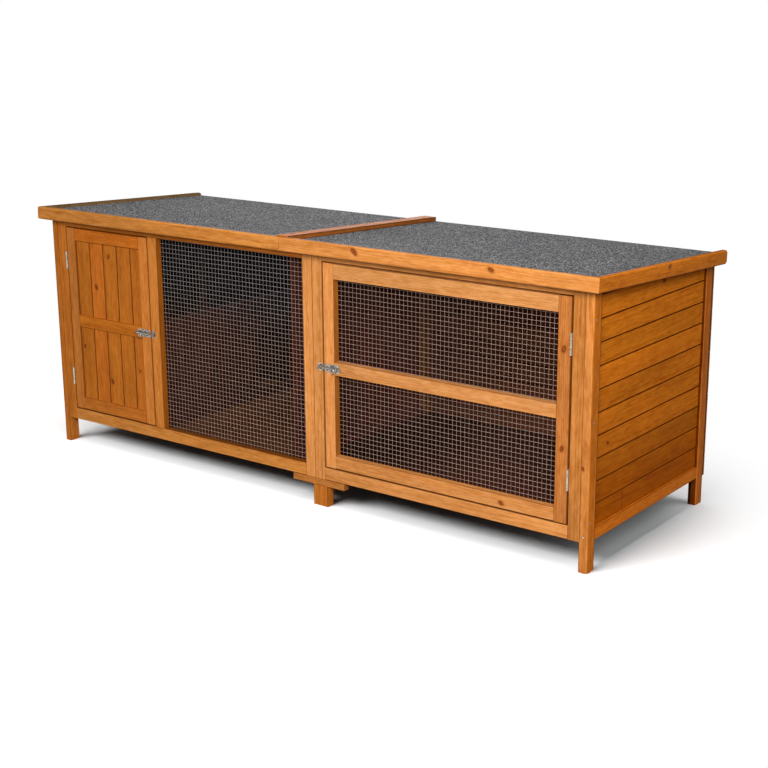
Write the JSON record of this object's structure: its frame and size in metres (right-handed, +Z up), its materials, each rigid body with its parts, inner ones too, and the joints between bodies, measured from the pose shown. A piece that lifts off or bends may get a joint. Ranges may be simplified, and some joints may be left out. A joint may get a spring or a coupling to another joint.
{
  "type": "rabbit hutch",
  "caption": "Long single-storey wooden rabbit hutch with a boarded bedroom door, fixed wire front, framed wire door, barrel bolts and a felted sloping roof.",
  "frame": {"origin": "on the ground, under the middle of the roof outline", "axes": "+X along the front, away from the bedroom end; +Y to the back; +Z up"},
  "size_m": [1.83, 0.663, 0.7064],
  "materials": {
    "stained_pine": "honey-stained softwood, satin",
    "sheathing_board": "plain sheet board, matt",
    "roof_felt": "dark grey mineral-faced roofing felt, matt",
    "galvanised_wire": "galvanised welded wire",
    "zinc_plate": "bright zinc plate"
  },
  "bodies": {
    "hutch": {"back_boards_left": "stained_pine", "back_boards_right": "stained_pine", "bolt_keeps": "zinc_plate", "cross_block": "stained_pine", "divider_battens": "stained_pine", "divider_boards": "stained_pine", "floor_bearers": "stained_pine", "floor_left": "sheathing_board", "floor_right": "sheathing_board", "foot_front": "stained_pine", "frame_left_bottom_rail": "stained_pine", "frame_left_stile": "stained_pine", "frame_left_top_rail": "stained_pine", "frame_mid_stile": "stained_pine", "frame_right_bottom_rail": "stained_pine", "frame_right_stile": "stained_pine", "frame_right_top_rail": "stained_pine", "frame_seam_stile_left": "stained_pine", "frame_seam_stile_right": "stained_pine", "front_fascia_left": "stained_pine", "front_fascia_right": "stained_pine", "hinge_frame_leaves": "zinc_plate", "hinge_pins": "zinc_plate", "left_side_boards": "stained_pine", "left_side_rail": "stained_pine", "leg_back_left": "stained_pine", "leg_back_middle": "stained_pine", "leg_back_right": "stained_pine", "leg_front_left": "stained_pine", "leg_front_right": "stained_pine", "partition_battens": "stained_pine", "partition_boards": "stained_pine", "right_side_boards": "stained_pine", "right_side_rail": "stained_pine", "roof_cover_batten": "stained_pine", "roof_deck_left": "sheathing_board", "roof_deck_right": "sheathing_board", "roof_felt_left": "roof_felt", "roof_felt_right": "roof_felt", "run_mesh": "galvanised_wire", "side_fascia_left": "stained_pine", "side_fascia_right": "stained_pine"},
    "left_door": {"left_door_bottom_rail": "stained_pine", "left_door_hinge_stile": "stained_pine", "left_door_latch_stile": "stained_pine", "left_door_mid_rail": "stained_pine", "left_door_planks": "stained_pine", "left_door_top_rail": "stained_pine", "left_hinge_door_leaves": "zinc_plate", "left_bolt_plate": "zinc_plate"},
    "right_door": {"right_door_bottom_rail": "stained_pine", "right_door_hinge_stile": "stained_pine", "right_door_latch_stile": "stained_pine", "right_door_mesh": "galvanised_wire", "right_door_mid_rail": "stained_pine", "right_door_top_rail": "stained_pine", "right_hinge_door_leaves": "zinc_plate", "right_bolt_plate": "zinc_plate"},
    "left_bolt": {"left_bolt_rod": "zinc_plate"},
    "right_bolt": {"right_bolt_rod": "zinc_plate"}
  },
  "joints": [
    {"name": "left_door_hinge", "type": "hinge", "parent": "hutch", "child": "left_door", "pos_m": [-0.834, -0.304, 0.379], "axis": [0, 0, -1], "range_deg": [0, 170]},
    {"name": "right_door_hinge", "type": "hinge", "parent": "hutch", "child": "right_door", "pos_m": [0.834, -0.304, 0.379], "axis": [0, 0, 1], "range_deg": [0, 170]},
    {"name": "left_bolt_slide", "type": "slide", "parent": "left_door", "child": "left_bolt", "axis": [1, 0, 0], "range_m": [0, 0.015]},
    {"name": "right_bolt_slide", "type": "slide", "parent": "right_door", "child": "right_bolt", "axis": [-1, 0, 0], "range_m": [0, 0.015]}
  ]
}
